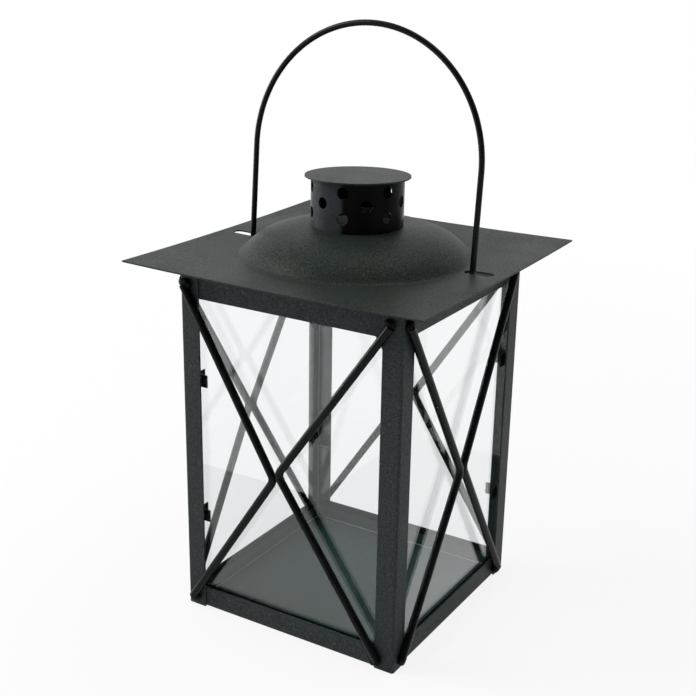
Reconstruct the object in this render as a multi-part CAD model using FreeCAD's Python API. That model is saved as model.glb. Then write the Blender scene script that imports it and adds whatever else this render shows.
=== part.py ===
import FreeCAD, Part
import math
import os

# Square metal lantern for one candle. A glazed body of sheet-metal angles and rails is crossed
# outside by bent rods. Its loose square lid slides up the legs of the carrying handle.
# All sizes are in millimetres. Origin: centre of the footprint, on the surface the lantern
# stands on. +X is the right side, -Y the front, +Z up.

# Driving dimensions
body_width = 137.2          # over the corner posts
body_height = 205.8         # foot to the top of the rails, where the lid rests
lid_width = 180.0           # square lid, side to side
sheet = 0.8                 # thickness of rails, tray and lid
post_sheet = 1.0            # thickness of the corner posts
glass_thickness = 2.0
gap = 0.1                   # play around loose pieces of the body
pane_setback = 1.2          # from the rails and the tray's walls to the panes

# Corner posts
post_flange = 11.7
post_corner_radius = 1.4

# Tray, whose walls are the bottom rails
tray_height = 12.6
tray_bend_radius = 1.1

# Top rails
rail_height = 18.6
rail_seat_width = 5.0       # inward lip that the lid rests on
hook_hole_radius = 2.0
pivot_drop = 10.0           # lid seat down to the handle's pivots

# Panes of glass
pane_height = 190.0

# Glass clips: a small angle behind the two panes at each corner post, two on a post
clip_height = 7.2
clip_sheet = 0.6
# For each corner: reach from the corner of the body, middle of the upper and of the lower clip
clip_places = {
    "front_left": (13.3, 139.0, 57.0),
    "front_right": (11.1, 139.0, 57.0),
    "back_right": (12.9, 139.0, 53.8),
    "back_left": (12.3, 139.0, 57.0),
}

# Brace rods: on each side two bent rods whose elbows touch near the middle
rod_diameter = 4.5
rod_elbow_radius = 5.5
rod_flat_depth = 0.15       # flat where a rod is welded to the posts
rod_top = 194.5
rod_bottom = 6.2
# The lantern is welded by hand, so each side differs a little. Seen from outside and counted
# from the middle of the side: top end, bottom end and elbow height of the left rod, the same
# of the right rod, and the place where the two elbows touch
brace_places = {
    "front": ((-65.1, -64.1, 95.1), (62.3, 60.0, 98.9), -5.3),
    "right": ((-65.5, -63.0, 94.5), (56.8, 57.5, 95.6), -1.0),
    "back": ((-61.6, -61.8, 101.0), (63.5, 65.4, 101.0), 0.9),
    "left": ((-61.7, -61.3, 102.4), (64.3, 61.1, 103.0), 3.6),
}

# Lid: plate, dome and collar are one pressing
lid_rest_gap = 0.2          # play between the rails and the foot of the dome
lid_dish_radius = 4000.0    # the thin plate curls up a little towards its corners
dome_foot_radius = 65.0
dome_foot_run = 3.5         # soft crease between plate and dome
dome_shoulder_radius = 58.0
dome_shoulder_height = 14.5 # above the plate
dome_top = 222.9
collar_height = 4.0
slot_inner = 66.2
slot_outer = 83.0
slot_width = 6.6

# Chimney and cap
chimney_radius = 25.4
chimney_foot = dome_top
vent_radius = 3.2
vent_columns = 12
vent_pitch = 28.8           # degrees, so that the tube's seam lies in a wider gap at the back left
first_vent_azimuth = -134.8 # degrees from +X
vent_upper = 244.8
vent_middle = 238.0
vent_lower = 230.8
cap_radius = 28.8
cap_seat = 249.2            # underside of the cap in the middle
cap_tilt = 2.0              # degrees; the cap sits a little askew
cap_low_azimuth = 121.0     # direction in which the cap leans down

# Handle: one bent wire that leans back against the edges of the slots
wire_diameter = 3.2
leg_offset = 70.4           # middle of the lantern to the centre of each leg
leg_height = 63.0           # pivot to the spring of the half-round arch
hook_length = 9.0           # centre of the leg to the inner end of the hook
hook_bend_radius = 3.4
handle_lean = 4.7           # degrees

half_body = body_width / 2
half_lid = lid_width / 2
post_inner = half_body - post_sheet
sheet_inner = post_inner - sheet
pane_outer = sheet_inner - pane_setback
pane_inner = pane_outer - glass_thickness
pane_foot = sheet + gap
pivot_height = body_height - pivot_drop
collar_radius = chimney_radius - sheet
SIDES = ("front", "right", "back", "left")
CORNERS = ("front_left", "front_right", "back_right", "back_left")
Z_AXIS = FreeCAD.Vector(0, 0, 1)


def vector(x, y, z):
    return FreeCAD.Vector(x, y, z)


def block(low, high):
    """Box between two opposite corners."""
    size = [top - bottom for bottom, top in zip(low, high)]
    return Part.makeBox(size[0], size[1], size[2], vector(*low))


def turned(shape, quarter_turns):
    """Copy of a front piece, turned to another side or corner."""
    copy = shape.copy()
    copy.rotate(vector(0, 0, 0), Z_AXIS, 90.0 * quarter_turns)
    return copy


def prism(outline, base, height):
    """Upright prism over a closed outline of (x, y) points."""
    corners = [vector(x, y, base) for x, y in outline]
    face = Part.Face(Part.makePolygon(corners + corners[:1]))
    return face.extrude(vector(0, 0, height))


def upright_edge(shape, x, y):
    """The upright edge of the shape at the point (x, y)."""
    for edge in shape.Edges:
        ends = [vertex.Point for vertex in edge.Vertexes]
        if all(math.hypot(end.x - x, end.y - y) < 0.01 for end in ends):
            return edge
    raise ValueError("no upright edge there")


def flat_edges(shape, z):
    """Edges of the shape that lie at one height."""
    return [edge for edge in shape.Edges
            if abs(edge.BoundBox.ZMax - z) < 0.01 and abs(edge.BoundBox.ZMin - z) < 0.01]


def bent_bar(points, radii, diameter):
    """Round bar along straight runs joined by tangent arcs, one radius for each inner point."""
    points = [vector(*point) for point in points]
    edges = []
    start = points[0]
    for index, radius in enumerate(radii, start=1):
        corner = points[index]
        before = (corner - points[index - 1]).normalize()
        after = (points[index + 1] - corner).normalize()
        half_turn = before.getAngle(after) / 2
        reach = radius * math.tan(half_turn)
        inward = (after - before).normalize()
        arc_start = corner - before * reach
        arc_end = corner + after * reach
        arc_middle = corner + inward * (radius / math.cos(half_turn) - radius)
        if start.distanceToPoint(arc_start) > 0.01:
            edges.append(Part.LineSegment(start, arc_start).toShape())
        edges.append(Part.Arc(arc_start, arc_middle, arc_end).toShape())
        start = arc_end
    edges.append(Part.LineSegment(start, points[-1]).toShape())
    first_run = (points[1] - points[0]).normalize()
    section = Part.Wire([Part.makeCircle(diameter / 2, points[0], first_run)])
    return Part.Wire(edges).makePipeShell([section], True, False)


def make_tray():
    """Pan with a flat floor and four low walls."""
    outer = block((-post_inner, -post_inner, 0), (post_inner, post_inner, tray_height))
    outer = outer.makeFillet(tray_bend_radius, flat_edges(outer, 0))
    inner = block((-sheet_inner, -sheet_inner, sheet), (sheet_inner, sheet_inner, tray_height + 1))
    inner = inner.makeFillet(tray_bend_radius - sheet, flat_edges(inner, sheet))
    return outer.cut(inner)


def make_post():
    """Angle at the front left corner, bent from one strip."""
    end = -half_body + post_flange
    outline = [
        (-half_body, -half_body), (end, -half_body), (end, -post_inner),
        (-post_inner, -post_inner), (-post_inner, end), (-half_body, end),
    ]
    post = prism(outline, 0, body_height)
    return post.makeFillet(post_corner_radius, [upright_edge(post, -half_body, -half_body)])


def mitred_strip(inner, base, height):
    """Strip along the front between the posts' inner faces and a line nearer the middle."""
    outline = [(-post_inner, -post_inner), (post_inner, -post_inner), (inner, -inner), (-inner, -inner)]
    return prism(outline, base, height)


def make_rail(has_hook_hole):
    """Top rail of the front, with an inward lip. The side rails have a hole for the handle."""
    wall = mitred_strip(sheet_inner, body_height - rail_height, rail_height)
    lip = mitred_strip(post_inner - rail_seat_width, body_height - sheet, sheet)
    rail = wall.fuse(lip).removeSplitter()
    if not has_hook_hole:
        return rail
    place = vector(0, -half_body, pivot_height)
    return rail.cut(Part.makeCylinder(hook_hole_radius, 4 * sheet, place, vector(0, 1, 0)))


def make_pane(half_width):
    """Pane behind the posts of the front."""
    low = (-half_width, -pane_outer, pane_foot)
    high = (half_width, -pane_inner, pane_foot + pane_height)
    return block(low, high)


def make_clip(reach, level):
    """Small angle behind both panes at the front left corner."""
    outer = pane_inner - gap
    inner = outer - clip_sheet
    tip = -half_body + reach
    outline = [(-outer, -outer), (tip, -outer), (tip, -inner), (-inner, -inner), (-inner, tip), (-outer, tip)]
    return prism(outline, level - clip_height / 2, clip_height)


def make_brace(top_end, bottom_end, elbow_height, elbow):
    """Bent rod over the front. Both of its ends are at one post and its elbow points inwards."""
    inwards = 1 if elbow > top_end else -1
    depth = -half_body - rod_diameter / 2 + rod_flat_depth
    bend_middle = elbow - inwards * rod_diameter / 2
    bend_centre = bend_middle - inwards * rod_elbow_radius
    corner = vector(bend_middle, depth, elbow_height)
    # each round brings the corner of the two straight runs closer to the bend's tangents
    for _ in range(6):
        rise = math.atan2(rod_top - corner.z, abs(corner.x - top_end))
        fall = math.atan2(corner.z - rod_bottom, abs(corner.x - bottom_end))
        reach = rod_elbow_radius / math.sin((rise + fall) / 2)
        tilt = (rise - fall) / 2
        corner.x = bend_centre + inwards * reach * math.cos(tilt)
        corner.z = elbow_height - reach * math.sin(tilt)
    path = [(top_end, depth, rod_top), (corner.x, depth, corner.z), (bottom_end, depth, rod_bottom)]
    rod = bent_bar(path, [rod_elbow_radius], rod_diameter)
    return rod.cut(block((-half_body, -half_body, 0), (half_body, half_body, body_height)))


def plate_height(radius, offset):
    """Height of the dished plate at a distance from the middle, above its underside."""
    dish = (radius ** 2 - dome_foot_radius ** 2) / (2 * lid_dish_radius)
    return body_height + lid_rest_gap + dish + offset


def sheet_line(offset, inset):
    """Edges of one face of the lid's sheet, from its corners in to the foot of the collar."""
    rim = 1.02 * half_lid * math.sqrt(2)
    middle = (rim + dome_foot_radius) / 2
    foot = dome_foot_radius - 0.5 * inset
    collar = collar_radius + sheet - inset
    plate = Part.Arc(vector(rim, 0, plate_height(rim, offset)),
                     vector(middle, 0, plate_height(middle, offset)),
                     vector(foot, 0, plate_height(foot, offset)))
    dome = Part.BezierCurve()
    dome.setPoles([
        vector(foot, 0, plate_height(foot, offset)),
        vector(foot - dome_foot_run, 0, plate_height(foot, offset)),
        vector(dome_shoulder_radius - inset, 0, plate_height(foot, offset) + dome_shoulder_height),
        vector(collar, 0, dome_top - sheet + offset),
    ])
    return [plate.toShape(), dome.toShape()]


def make_lid():
    """Square plate pressed up into a dome, whose hole has an upright collar, with two slots."""
    top = sheet_line(sheet, 0.0)
    under = sheet_line(0.0, sheet)
    rim_top = top[0].Vertexes[0].Point
    rim_under = under[0].Vertexes[0].Point
    dome_end = top[1].Vertexes[-1].Point
    under_end = under[1].Vertexes[-1].Point
    collar_foot = vector(collar_radius, 0, dome_end.z)
    collar_crown = vector(collar_radius, 0, dome_end.z + collar_height)
    inner_crown = vector(collar_radius - sheet, 0, dome_end.z + collar_height)
    inner_foot = vector(collar_radius - sheet, 0, under_end.z)
    corners = [dome_end, collar_foot, collar_crown, inner_crown, inner_foot, under_end]
    joints = [Part.LineSegment(a, b).toShape() for a, b in zip(corners[:-1], corners[1:])]
    rim = Part.LineSegment(rim_under, rim_top).toShape()
    outline = Part.Wire(Part.sortEdges(top + joints + under + [rim])[0])
    lid = Part.Face(outline).revolve(vector(0, 0, 0), Z_AXIS, 360)
    lid = lid.common(block((-half_lid, -half_lid, 0), (half_lid, half_lid, cap_seat)))
    slot = block((slot_inner, -slot_width / 2, 0), (slot_outer, slot_width / 2, cap_seat))
    slot = slot.makeFillet(slot_width / 2 - 0.01, [edge for edge in slot.Edges if edge.Length > cap_seat - 1])
    return lid.cut(slot).cut(turned(slot, 2))


def askew(shape):
    """The shape, leant over with the cap."""
    direction = math.radians(cap_low_azimuth)
    hinge_line = vector(-math.sin(direction), math.cos(direction), 0)
    shape.rotate(vector(0, 0, cap_seat), hinge_line, cap_tilt)
    return shape


def make_chimney():
    """Tube over the collar, cut to the cap's lean, with columns of two and of one round vent by turns."""
    height = cap_seat + chimney_radius - chimney_foot
    tube = Part.makeCylinder(chimney_radius, height, vector(0, 0, chimney_foot))
    tube = tube.cut(Part.makeCylinder(collar_radius, height, vector(0, 0, chimney_foot)))
    above = block((-half_lid, -half_lid, cap_seat), (half_lid, half_lid, cap_seat + half_lid))
    tube = tube.cut(askew(above))
    for column in range(vent_columns):
        azimuth = math.radians(first_vent_azimuth + column * vent_pitch)
        outward = vector(math.cos(azimuth), math.sin(azimuth), 0)
        rows = (vent_upper, vent_lower) if column % 2 == 0 else (vent_middle,)
        for row in rows:
            vent = Part.makeCylinder(vent_radius, 2 * chimney_radius, vector(0, 0, row), outward)
            tube = tube.cut(vent)
    return tube


def make_cap():
    """Flat disc on the tube."""
    return askew(Part.makeCylinder(cap_radius, sheet, vector(0, 0, cap_seat)))


def make_handle():
    """Half-round arch on two straight legs, whose feet are hooked inwards through the side rails."""
    top = pivot_height + leg_height
    tip = leg_offset - hook_length
    bend = hook_bend_radius
    slant = bend * math.sqrt(0.5)
    line = Part.LineSegment
    edges = [
        line(vector(-tip, 0, pivot_height), vector(-leg_offset + bend, 0, pivot_height)).toShape(),
        Part.Arc(vector(-leg_offset + bend, 0, pivot_height),
                 vector(-leg_offset + bend - slant, 0, pivot_height + bend - slant),
                 vector(-leg_offset, 0, pivot_height + bend)).toShape(),
        line(vector(-leg_offset, 0, pivot_height + bend), vector(-leg_offset, 0, top)).toShape(),
        Part.Arc(vector(-leg_offset, 0, top), vector(0, 0, top + leg_offset),
                 vector(leg_offset, 0, top)).toShape(),
        line(vector(leg_offset, 0, top), vector(leg_offset, 0, pivot_height + bend)).toShape(),
        Part.Arc(vector(leg_offset, 0, pivot_height + bend),
                 vector(leg_offset - bend + slant, 0, pivot_height + bend - slant),
                 vector(leg_offset - bend, 0, pivot_height)).toShape(),
        line(vector(leg_offset - bend, 0, pivot_height), vector(tip, 0, pivot_height)).toShape(),
    ]
    section = Part.Wire([Part.makeCircle(wire_diameter / 2, vector(-tip, 0, pivot_height), vector(-1, 0, 0))])
    handle = Part.Wire(edges).makePipeShell([section], True, False)
    handle.rotate(vector(0, 0, pivot_height), vector(1, 0, 0), -handle_lean)
    return handle


def save(name, shape):
    if len(shape.Solids) != 1 or not shape.isValid():
        raise ValueError(name + " is not one valid solid")
    solid = shape.Solids[0]
    solid.exportStep("parts/" + name + ".step")
    print(name, "volume", round(solid.Volume, 1))


os.makedirs("parts", exist_ok=True)

save("base_tray", make_tray())
for turn, corner in enumerate(CORNERS):
    save("corner_post_" + corner, turned(make_post(), turn))
    reach, upper_level, lower_level = clip_places[corner]
    save("glass_clip_" + corner + "_upper", turned(make_clip(reach, upper_level), turn))
    save("glass_clip_" + corner + "_lower", turned(make_clip(reach, lower_level), turn))

for turn, side in enumerate(SIDES):
    is_flank = side in ("right", "left")
    save("top_rail_" + side, turned(make_rail(is_flank), turn))
    # the side panes stand between the front and the back pane
    half_width = (pane_inner if is_flank else pane_outer) - gap
    save("glass_pane_" + side, turned(make_pane(half_width), turn))
    left_rod, right_rod, elbow = brace_places[side]
    save("brace_rod_" + side + "_left", turned(make_brace(*left_rod, elbow), turn))
    save("brace_rod_" + side + "_right", turned(make_brace(*right_rod, elbow), turn))

save("lid", make_lid())
save("chimney", make_chimney())
save("chimney_cap", make_cap())
save("handle", make_handle())
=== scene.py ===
"""Looks of a square metal candle lantern with glass sides, a domed lid and a wire handle.

Everything is in metres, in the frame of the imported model: +Z up, -Y the front, +X the right side.
"""

import math
import random

import bmesh
import bpy
from mathutils import Matrix, Vector


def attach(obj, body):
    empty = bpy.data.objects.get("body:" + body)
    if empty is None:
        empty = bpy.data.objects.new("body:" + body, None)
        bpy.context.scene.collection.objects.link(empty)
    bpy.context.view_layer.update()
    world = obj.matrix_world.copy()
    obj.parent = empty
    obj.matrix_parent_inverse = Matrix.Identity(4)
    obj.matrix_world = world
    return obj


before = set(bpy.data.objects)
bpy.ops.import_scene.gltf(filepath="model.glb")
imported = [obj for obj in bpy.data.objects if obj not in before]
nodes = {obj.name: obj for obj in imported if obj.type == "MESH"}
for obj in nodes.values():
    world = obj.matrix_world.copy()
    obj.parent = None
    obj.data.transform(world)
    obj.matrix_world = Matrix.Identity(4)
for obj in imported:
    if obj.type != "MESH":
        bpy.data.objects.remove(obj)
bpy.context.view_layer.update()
SIDES = {
    "front": Vector((0.0, -1.0, 0.0)),
    "right": Vector((1.0, 0.0, 0.0)),
    "back": Vector((0.0, 1.0, 0.0)),
    "left": Vector((-1.0, 0.0, 0.0)),
}
CORNERS = ("front_left", "front_right", "back_right", "back_left")
SHEET = 0.0008                          # thickness of the tray's walls
TRAY_INSIDE = 0.0671                    # half the tray's inner width, and a little of its walls
TUBE_MID_WALL = 0.0250                  # radius between the chimney's inside and outside

# Weld beads, as half sizes and distances
BEAD_ALONG = 0.0032
BEAD_ACROSS = 0.0021
BEAD_RISE = 0.0034
BEAD_BUMPS = 7
BEAD_SINK = 0.0008                      # from the middle of a rod's end inwards
ROD_END_RISE = 0.0015                   # stretch of a rod that counts as its end
ELBOW_BEAD_SCALE = 0.8
ELBOW_BEAD_SINK = 0.0012

# Dark strips along the tray's walls, as half sizes and distances
STRIP_HALF_RISE = 0.0022
STRIP_ABOVE_TRAY = 0.0005
STRIP_END_GAP = 0.0002
STRIP_SIDE_GAP = 0.00005
STRIP_EDGE_RADIUS = 0.0002

# Camera at the photograph's angle
CAMERA_PLACE = Vector((0.33786, -0.56343, 0.38235))
CAMERA_YAW = math.radians(31.28)
CAMERA_PITCH = math.radians(19.40)      # below the horizon
CAMERA_ROLL = math.radians(0.98)
CAMERA_SENSOR = 36.0
CAMERA_LENS = 63.76
CAMERA_NEAR_LIMIT = 0.01

# Colours, as linear light
COAT = (0.0190, 0.0240, 0.0245)
COAT_PALE = (0.0290, 0.0360, 0.0350)
TRAY_COAT = (0.0100, 0.0340, 0.0290)
TRAY_COAT_PALE = (0.0190, 0.0470, 0.0410)
LID_COAT = (0.0095, 0.0140, 0.0120)
LID_COAT_PALE = (0.0225, 0.0300, 0.0255)
PAINT = (0.0014, 0.0017, 0.0021)
PAINT_PALE = (0.0034, 0.0039, 0.0045)
TUBE_PAINT = (0.0005, 0.0006, 0.0008)
# Painted highlight on the lit side of the chimney
TUBE_PAINTED_HIGHLIGHT = (0.0340, 0.0390, 0.0430)
# Pale edges: wear of the coat and a painted highlight where edges catch light
EDGE_WEAR_AND_HIGHLIGHT = (0.090, 0.096, 0.094)
GROUND_GLASS = (0.10, 0.17, 0.16)
GROUND_GLASS_PALE = (0.24, 0.34, 0.32)
CLEAR_GLASS = (0.955, 0.965, 0.968)
LIGHT_THROUGH_GLASS = (0.90, 0.93, 0.93)
PALE_FLOOR = (0.82, 0.82, 0.82)
WHITE = (1.0, 1.0, 1.0)
GREENISH_WHITE = (0.92, 1.0, 0.95)

# Finishes, with their noise in cells per metre
EDGE_ROUNDING_RADIUS = 0.0005
SPECK_BRIGHTNESS = 1.8                  # as against the pale grain
CLOUDS = 22.0
PAINT_PATCHES = 90.0
TUBE_PATCHES = 120.0
ORANGE_PEEL = 700.0
SMEARS = 30.0
GRIT = 900.0

# Studio
WORLD_LEVEL = 0.55                      # light on the object, where what is seen is 1
ROOM_DIRECTION = (0.60, -0.75, 0.28)    # the dim side of the room
ROOM_LEVEL = 0.12
FLOOR_RADIUS = 30.0
FLOOR_LEVEL = -0.0002
FLOOR_NEAR = 0.20                       # distances from the middle of the lantern
FLOOR_FAR = 0.90
FLOOR_GLOW_NEAR = 0.85                  # share of plain white in the floor as seen, up to the near distance
LAMP_TARGET = Vector((0.0, 0.0, 0.16))  # the middle of the lantern


def new_camera():
    forward = Vector((
        -math.sin(CAMERA_YAW) * math.cos(CAMERA_PITCH),
        math.cos(CAMERA_YAW) * math.cos(CAMERA_PITCH),
        -math.sin(CAMERA_PITCH),
    ))
    level_right = Vector((math.cos(CAMERA_YAW), math.sin(CAMERA_YAW), 0.0))
    level_up = level_right.cross(forward)
    right = math.cos(CAMERA_ROLL) * level_right + math.sin(CAMERA_ROLL) * level_up
    up = math.cos(CAMERA_ROLL) * level_up - math.sin(CAMERA_ROLL) * level_right
    data = bpy.data.cameras.new("camera")
    data.sensor_width = CAMERA_SENSOR
    data.lens = CAMERA_LENS
    data.clip_start = CAMERA_NEAR_LIMIT
    camera = bpy.data.objects.new("camera", data)
    rotation = Matrix((right, up, -forward)).transposed()
    camera.matrix_world = Matrix.Translation(CAMERA_PLACE) @ rotation.to_4x4()
    bpy.context.scene.collection.objects.link(camera)
    bpy.context.scene.camera = camera


class Graph:
    """Short calls for building one material's or world's nodes."""

    def __init__(self, tree):
        self.tree = tree
        self.tree.nodes.clear()

    def node(self, kind, inputs=None, **settings):
        made = self.tree.nodes.new(kind)
        for name, value in settings.items():
            setattr(made, name, value)
        for name, value in (inputs or {}).items():
            socket = made.inputs[name]
            if isinstance(value, bpy.types.NodeSocket):
                self.tree.links.new(value, socket)
            else:
                socket.default_value = value
        return made

    def noise(self, place, scale, detail, roughness):
        inputs = {"Vector": place, "Scale": scale, "Detail": detail, "Roughness": roughness}
        return self.node("ShaderNodeTexNoise", inputs).outputs["Fac"]

    def math(self, operation, a, b=0.0):
        return self.node("ShaderNodeMath", {0: a, 1: b}, operation=operation).outputs[0]

    def dot(self, a, b):
        return self.node("ShaderNodeVectorMath", {0: a, 1: b}, operation="DOT_PRODUCT").outputs["Value"]

    def length(self, a):
        return self.node("ShaderNodeVectorMath", {0: a}, operation="LENGTH").outputs["Value"]

    def ramp(self, value, low, high, to_low=0.0, to_high=1.0):
        inputs = {"Value": value, "From Min": low, "From Max": high, "To Min": to_low, "To Max": to_high}
        return self.node("ShaderNodeMapRange", inputs).outputs["Result"]

    def blend(self, share, a, b):
        """Mixes two colours, each a socket or three numbers, in the Mix node's sockets 6 and 7."""
        inputs = {0: share}
        for index, colour in ((6, a), (7, b)):
            inputs[index] = colour if isinstance(colour, bpy.types.NodeSocket) else (*colour, 1.0)
        return self.node("ShaderNodeMix", inputs, data_type="RGBA").outputs[2]

    def bump(self, height, strength, distance, normal=None):
        inputs = {"Height": height, "Strength": strength, "Distance": distance}
        if normal is not None:
            inputs["Normal"] = normal
        return self.node("ShaderNodeBump", inputs).outputs["Normal"]

    def object_place(self):
        return self.node("ShaderNodeTexCoord").outputs["Object"]

    def surface_normal(self):
        return self.node("ShaderNodeNewGeometry").outputs["Normal"]

    def rays(self):
        return self.node("ShaderNodeLightPath").outputs

    def principled(self, inputs):
        return self.node("ShaderNodeBsdfPrincipled", inputs).outputs[0]

    def mix_shaders(self, share, a, b):
        return self.node("ShaderNodeMixShader", {0: share, 1: a, 2: b}).outputs[0]

    def finish(self, shader, kind="ShaderNodeOutputMaterial"):
        self.node(kind, {"Surface": shader})


def new_material(name):
    material = bpy.data.materials.new(name)
    material.use_nodes = True
    return material, Graph(material.node_tree)


def powder_coat(name, dark, pale, grain_size, roughness, relief=0.22, shine_level=0.13, shine_tint=WHITE,
                inside=None):
    """Matt coat with fine grain, faint clouds, a few pale specks and thin, pale edges that are partly worn
    and partly a painted highlight.

    inside gives a square pan other colours within its walls: half its inner width, dark and pale.
    """
    material, graph = new_material(name)
    place = graph.object_place()
    grain = graph.noise(place, 1.0 / grain_size, 3.0, 0.65)
    clouds = graph.noise(place, CLOUDS, 3.0, 0.55)
    specks = graph.noise(place, 0.7 / grain_size, 1.0, 0.5)
    grain_share = graph.ramp(grain, 0.38, 0.62, 0.0, 0.7)
    cloud_share = graph.ramp(clouds, 0.35, 0.65, 0.0, 0.3)
    share = graph.math("ADD", grain_share, cloud_share)
    colour = graph.blend(share, dark, pale)
    if inside is not None:
        half_width, inner_dark, inner_pale = inside
        parts = graph.node("ShaderNodeSeparateXYZ", {"Vector": place}).outputs
        reach_x = graph.math("ABSOLUTE", parts[0])
        reach_y = graph.math("ABSOLUTE", parts[1])
        is_inside = graph.math("LESS_THAN", graph.math("MAXIMUM", reach_x, reach_y), half_width)
        colour = graph.blend(is_inside, colour, graph.blend(share, inner_dark, inner_pale))
    speck_colour = tuple(SPECK_BRIGHTNESS * channel for channel in pale)
    colour = graph.blend(graph.ramp(specks, 0.66, 0.76), colour, speck_colour)
    # Pale edges, partly wear and partly a painted highlight along every edge
    rounded = graph.node("ShaderNodeBevel", {"Radius": EDGE_ROUNDING_RADIUS}, samples=4).outputs["Normal"]
    edge = graph.ramp(graph.dot(rounded, graph.surface_normal()), 0.99, 0.86)
    edge = graph.math("MULTIPLY", edge, graph.ramp(grain, 0.35, 0.6, 0.35, 0.9))
    colour = graph.blend(edge, colour, EDGE_WEAR_AND_HIGHLIGHT)
    graph.finish(graph.principled({
        "Base Color": colour,
        "Roughness": graph.ramp(clouds, 0.3, 0.7, roughness - 0.05, roughness + 0.06),
        "Normal": graph.bump(grain, 0.55, grain_size * relief, rounded),
        "Specular IOR Level": graph.ramp(grain, 0.36, 0.64, 0.55 * shine_level, 1.55 * shine_level),
        "Specular Tint": (*shine_tint, 1.0),
    }))
    return material


def gloss_paint(name, dark, pale, roughness, shine_level):
    """Smooth semi-gloss paint with a faint orange peel and slightly uneven shine."""
    material, graph = new_material(name)
    place = graph.object_place()
    patches = graph.noise(place, PAINT_PATCHES, 3.0, 0.6)
    peel = graph.noise(place, ORANGE_PEEL, 2.0, 0.5)
    graph.finish(graph.principled({
        "Base Color": graph.blend(graph.ramp(patches, 0.35, 0.65), dark, pale),
        "Roughness": graph.ramp(patches, 0.3, 0.7, roughness - 0.06, roughness + 0.08),
        "Normal": graph.bump(peel, 0.25, 0.0002),
        "Specular IOR Level": shine_level,
    }))
    return material


def tube_paint(name, painted_highlight_side):
    """Smooth black paint, with a painted highlight: lighter grey outside on one side of the tube, where
    light falls.
    """
    material, graph = new_material(name)
    place = graph.object_place()
    patches = graph.noise(place, TUBE_PATCHES, 3.0, 0.6)
    # Painted highlight: grey on the outside of the tube towards one side, with a slightly uneven border
    uneven = graph.ramp(patches, 0.3, 0.7, -0.0004, 0.0004)
    side = graph.math("ADD", graph.dot(place, painted_highlight_side), uneven)
    painted_highlight = graph.ramp(side, 0.0025, 0.0050)
    painted_highlight = graph.math("MULTIPLY", painted_highlight, graph.ramp(patches, 0.35, 0.65, 0.8, 1.0))
    level = graph.node("ShaderNodeVectorMath", {0: place, 1: (1.0, 1.0, 0.0)}, operation="MULTIPLY")
    is_outside = graph.math("GREATER_THAN", graph.length(level.outputs[0]), TUBE_MID_WALL)
    painted_highlight = graph.math("MULTIPLY", painted_highlight, is_outside)
    graph.finish(graph.principled({
        "Base Color": graph.blend(painted_highlight, TUBE_PAINT, TUBE_PAINTED_HIGHLIGHT),
        "Roughness": graph.ramp(patches, 0.3, 0.7, 0.22, 0.34),
        "Normal": graph.bump(patches, 0.15, 0.0002),
        "Specular IOR Level": 0.045,
    }))
    return material


def clear_glass(name, thickness_axis):
    """Clear float glass that lets lamps through, with a faint haze and ground, greenish edges."""
    material, graph = new_material(name)
    place = graph.object_place()
    smears = graph.noise(place, SMEARS, 4.0, 0.6)
    glass = graph.principled({
        "Base Color": (*CLEAR_GLASS, 1.0),
        "Roughness": graph.ramp(smears, 0.45, 0.75, 0.0, 0.03),
        "IOR": 1.5,
        "Transmission Weight": 1.0,
    })
    open_way = graph.node("ShaderNodeBsdfTransparent", {"Color": (*LIGHT_THROUGH_GLASS, 1.0)}).outputs[0]
    rays = graph.rays()
    passes = graph.math("MAXIMUM", rays["Is Shadow Ray"], rays["Is Diffuse Ray"])
    grit = graph.noise(place, GRIT, 2.0, 0.6)
    ground = graph.principled({
        "Base Color": graph.blend(grit, GROUND_GLASS, GROUND_GLASS_PALE),
        "Roughness": 0.45,
        "Normal": graph.bump(grit, 0.4, 0.0003),
    })
    across = graph.dot(graph.surface_normal(), thickness_axis)
    is_edge = graph.math("LESS_THAN", graph.math("ABSOLUTE", across), 0.5)
    graph.finish(graph.mix_shaders(is_edge, graph.mix_shaders(passes, glass, open_way), ground))
    return material


def wear(node_name, material):
    """Gives a carried-over node its material."""
    slots = nodes[node_name].data.materials
    slots.clear()
    slots.append(material)


def points_of(node_name):
    """Vertices of a carried-over node, in the frame."""
    node = nodes[node_name]
    return [node.matrix_world @ vertex.co for vertex in node.data.vertices]


def middle_of(points):
    return sum(points, Vector()) / len(points)


def along_and_across(outward):
    """Level unit vectors along a side and through it."""
    along = Vector((abs(outward.y), abs(outward.x), 0.0))
    across = Vector((abs(outward.x), abs(outward.y), 0.0))
    return along, across


def new_object(name, shape, material):
    """Turns a bmesh into an object of the scene."""
    mesh = bpy.data.meshes.new(name)
    shape.to_mesh(mesh)
    shape.free()
    mesh.materials.append(material)
    made = bpy.data.objects.new(name, mesh)
    bpy.context.scene.collection.objects.link(made)
    return made


def weld_bead(name, place, size, material, chance):
    """Small lump of weld metal under the paint, a ball swollen towards a few chance directions."""
    shape = bmesh.new()
    bmesh.ops.create_icosphere(shape, subdivisions=3, radius=1.0)
    bumps = [Vector([chance.uniform(-1.0, 1.0) for _ in range(3)]).normalized() for _ in range(BEAD_BUMPS)]
    for vertex in shape.verts:
        swell = sum(max(0.0, vertex.co.dot(bump) - 0.6) for bump in bumps)
        swollen = vertex.co * (0.86 + 0.4 * swell)
        vertex.co = Vector([extent * value for extent, value in zip(size, swollen)])
    for face in shape.faces:
        face.smooth = True
    bead = new_object(name, shape, material)
    bead.location = place
    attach(bead, "root")


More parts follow.
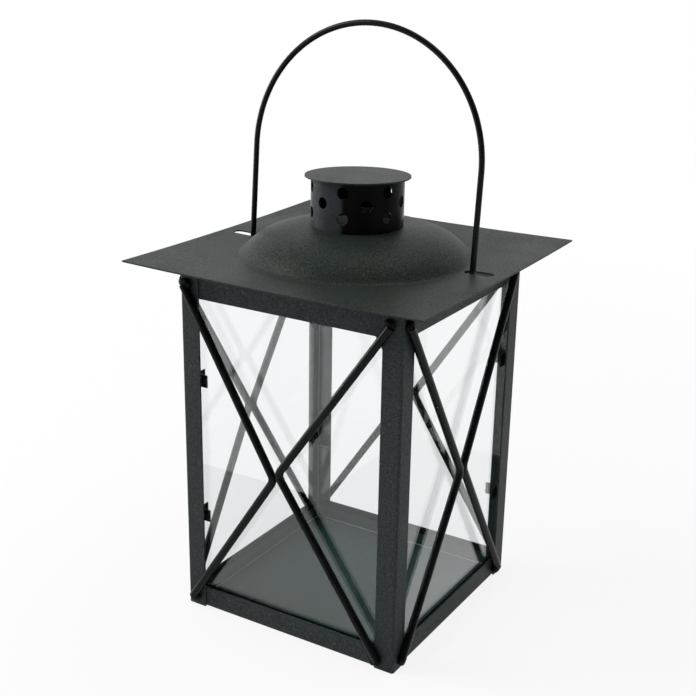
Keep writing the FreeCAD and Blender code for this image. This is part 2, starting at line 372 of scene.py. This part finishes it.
def weld_rods(side, outward, material):
    """Beads at the ends of a side's two rods and where their elbows touch."""
    chance = random.Random(side)
    along, across = along_and_across(outward)
    size = along * BEAD_ALONG + across * BEAD_ACROSS + Vector((0.0, 0.0, BEAD_RISE))
    elbows = []
    for hand in ("left", "right"):
        rod = points_of("brace_rod_" + side + "_" + hand)
        heights = [point.z for point in rod]
        for end, level in (("top", max(heights)), ("foot", min(heights))):
            tip = middle_of([point for point in rod if abs(point.z - level) < ROD_END_RISE])
            name = "weld_" + side + "_" + hand + "_" + end
            weld_bead(name, tip - outward * BEAD_SINK, size, material, chance)
        # The elbow is the point that lies furthest along the side from the rod's foot
        elbows.append(max(rod, key=lambda point: abs((point - tip).dot(along))))
    touch = middle_of(elbows) - outward * ELBOW_BEAD_SINK
    weld_bead("weld_" + side + "_elbows", touch, ELBOW_BEAD_SCALE * size, material, chance)


def dark_strip_at_pane(side, outward, material):
    """Dark strip that fills the gap between a pane and the tray's wall."""
    tray = points_of("base_tray")
    wall = max(point.dot(outward) for point in tray) - SHEET
    crown = max(point.z for point in tray) + STRIP_ABOVE_TRAY
    face = max(point.dot(outward) for point in points_of("glass_pane_" + side))
    along, across = along_and_across(outward)
    sizes = along * (wall - STRIP_END_GAP) + across * ((wall - face) / 2 - STRIP_SIDE_GAP)
    sizes.z = STRIP_HALF_RISE
    shape = bmesh.new()
    bmesh.ops.create_cube(shape, size=2.0)
    bmesh.ops.scale(shape, vec=sizes, verts=shape.verts)
    bmesh.ops.bevel(shape, geom=shape.edges[:], offset=STRIP_EDGE_RADIUS, segments=2, affect="EDGES")
    strip = new_object("seal_" + side, shape, material)
    strip.location = outward * ((wall + face) / 2) + Vector((0.0, 0.0, crown - STRIP_HALF_RISE))
    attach(strip, "root")


def new_world():
    """White all round for what is seen. Gloss sees white too, but for the dim room in front of the set."""
    world = bpy.data.worlds.new("studio")
    world.use_nodes = True
    graph = Graph(world.node_tree)
    rays = graph.rays()
    seen = graph.math("MAXIMUM", rays["Is Camera Ray"], rays["Is Transmission Ray"])
    direction = graph.node("ShaderNodeTexCoord").outputs["Generated"]
    reflected = graph.ramp(graph.dot(direction, ROOM_DIRECTION), -0.05, 0.45, 1.0, ROOM_LEVEL)
    strength = graph.ramp(rays["Is Glossy Ray"], 0.0, 1.0, WORLD_LEVEL, reflected)
    strength = graph.ramp(seen, 0.0, 1.0, strength, 1.0)
    sky = graph.node("ShaderNodeBackground", {"Color": (*WHITE, 1.0), "Strength": strength})
    graph.finish(sky.outputs[0], "ShaderNodeOutputWorld")
    bpy.context.scene.world = world


def new_floor():
    """Plain pale floor that stays near white and keeps the object's soft shadow."""
    material, graph = new_material("pale_floor")
    rays = graph.rays()
    seen = graph.math("MAXIMUM", rays["Is Camera Ray"], rays["Is Glossy Ray"])
    seen = graph.math("MAXIMUM", seen, rays["Is Transmission Ray"])
    plain = graph.node("ShaderNodeBsdfDiffuse", {"Color": (*PALE_FLOOR, 1.0)}).outputs[0]
    glow = graph.node("ShaderNodeEmission", {"Color": (*WHITE, 1.0), "Strength": 1.0}).outputs[0]
    distance = graph.length(graph.object_place())
    whiteness = graph.ramp(distance, FLOOR_NEAR, FLOOR_FAR, FLOOR_GLOW_NEAR, 1.0)
    share = graph.math("MULTIPLY", seen, whiteness)
    graph.finish(graph.mix_shaders(share, plain, glow))
    shape = bmesh.new()
    bmesh.ops.create_circle(shape, cap_ends=True, radius=FLOOR_RADIUS, segments=96)
    floor = new_object("floor", shape, material)
    floor.location.z = FLOOR_LEVEL


def new_lamp(name, azimuth, elevation, distance, size, power):
    """Square soft lamp aimed at the lantern. Azimuth counts in degrees from +X towards +Y."""
    turn = math.radians(azimuth)
    rise = math.radians(elevation)
    away = Vector((math.cos(turn) * math.cos(rise), math.sin(turn) * math.cos(rise), math.sin(rise)))
    data = bpy.data.lights.new(name, "AREA")
    data.size = size
    data.energy = power
    lamp = bpy.data.objects.new(name, data)
    lamp.location = LAMP_TARGET + away * distance
    lamp.rotation_euler = away.to_track_quat("Z", "Y").to_euler()
    bpy.context.scene.collection.objects.link(lamp)


new_camera()
new_world()
new_floor()
new_lamp("key", azimuth=-150.0, elevation=38.0, distance=1.8, size=0.6, power=15.0)
new_lamp("low_left", azimuth=-172.0, elevation=6.0, distance=1.7, size=0.8, power=17.0)
new_lamp("top", azimuth=60.0, elevation=75.0, distance=2.0, size=1.2, power=7.0)

frame_coat = powder_coat("frame_powder_coat", COAT, COAT_PALE, grain_size=0.0012, roughness=0.52)
tray_coat = powder_coat("tray_powder_coat", COAT, COAT_PALE, grain_size=0.0012, roughness=0.54,
                        relief=0.0, inside=(TRAY_INSIDE, TRAY_COAT, TRAY_COAT_PALE))
lid_coat = powder_coat("lid_powder_coat", LID_COAT, LID_COAT_PALE, grain_size=0.0010, roughness=0.44,
                       shine_level=0.115, shine_tint=GREENISH_WHITE)
clip_coat = powder_coat("clip_powder_coat", PAINT, COAT, grain_size=0.0008, roughness=0.5)
rod_paint = gloss_paint("rod_paint", PAINT, PAINT_PALE, roughness=0.28, shine_level=0.11)
wire_paint = gloss_paint("wire_paint", PAINT, PAINT_PALE, roughness=0.30, shine_level=0.13)
bead_paint = gloss_paint("weld_bead_paint", PAINT, PAINT_PALE, roughness=0.45, shine_level=0.06)
dark_strip_paint = gloss_paint("dark_strip", TUBE_PAINT, PAINT, roughness=0.6, shine_level=0.03)
# The chimney's painted highlight lies on its side towards -X, a little to the front
chimney_paint = tube_paint("chimney_paint", painted_highlight_side=(-0.94, -0.34, 0.0))
facing_glass = clear_glass("float_glass_front_and_back", thickness_axis=(0.0, 1.0, 0.0))
flank_glass = clear_glass("float_glass_left_and_right", thickness_axis=(1.0, 0.0, 0.0))

wear("base_tray", tray_coat)
wear("lid", lid_coat)
wear("chimney", chimney_paint)
wear("chimney_cap", lid_coat)
wear("handle", wire_paint)
for corner in CORNERS:
    wear("corner_post_" + corner, frame_coat)
    for level in ("upper", "lower"):
        wear("glass_clip_" + corner + "_" + level, clip_coat)
for side, outward in SIDES.items():
    wear("top_rail_" + side, frame_coat)
    wear("glass_pane_" + side, facing_glass if side in ("front", "back") else flank_glass)
    for hand in ("left", "right"):
        wear("brace_rod_" + side + "_" + hand, rod_paint)
    weld_rods(side, outward, bead_paint)
    dark_strip_at_pane(side, outward, dark_strip_paint)

bpy.context.scene.view_settings.view_transform = "Standard"
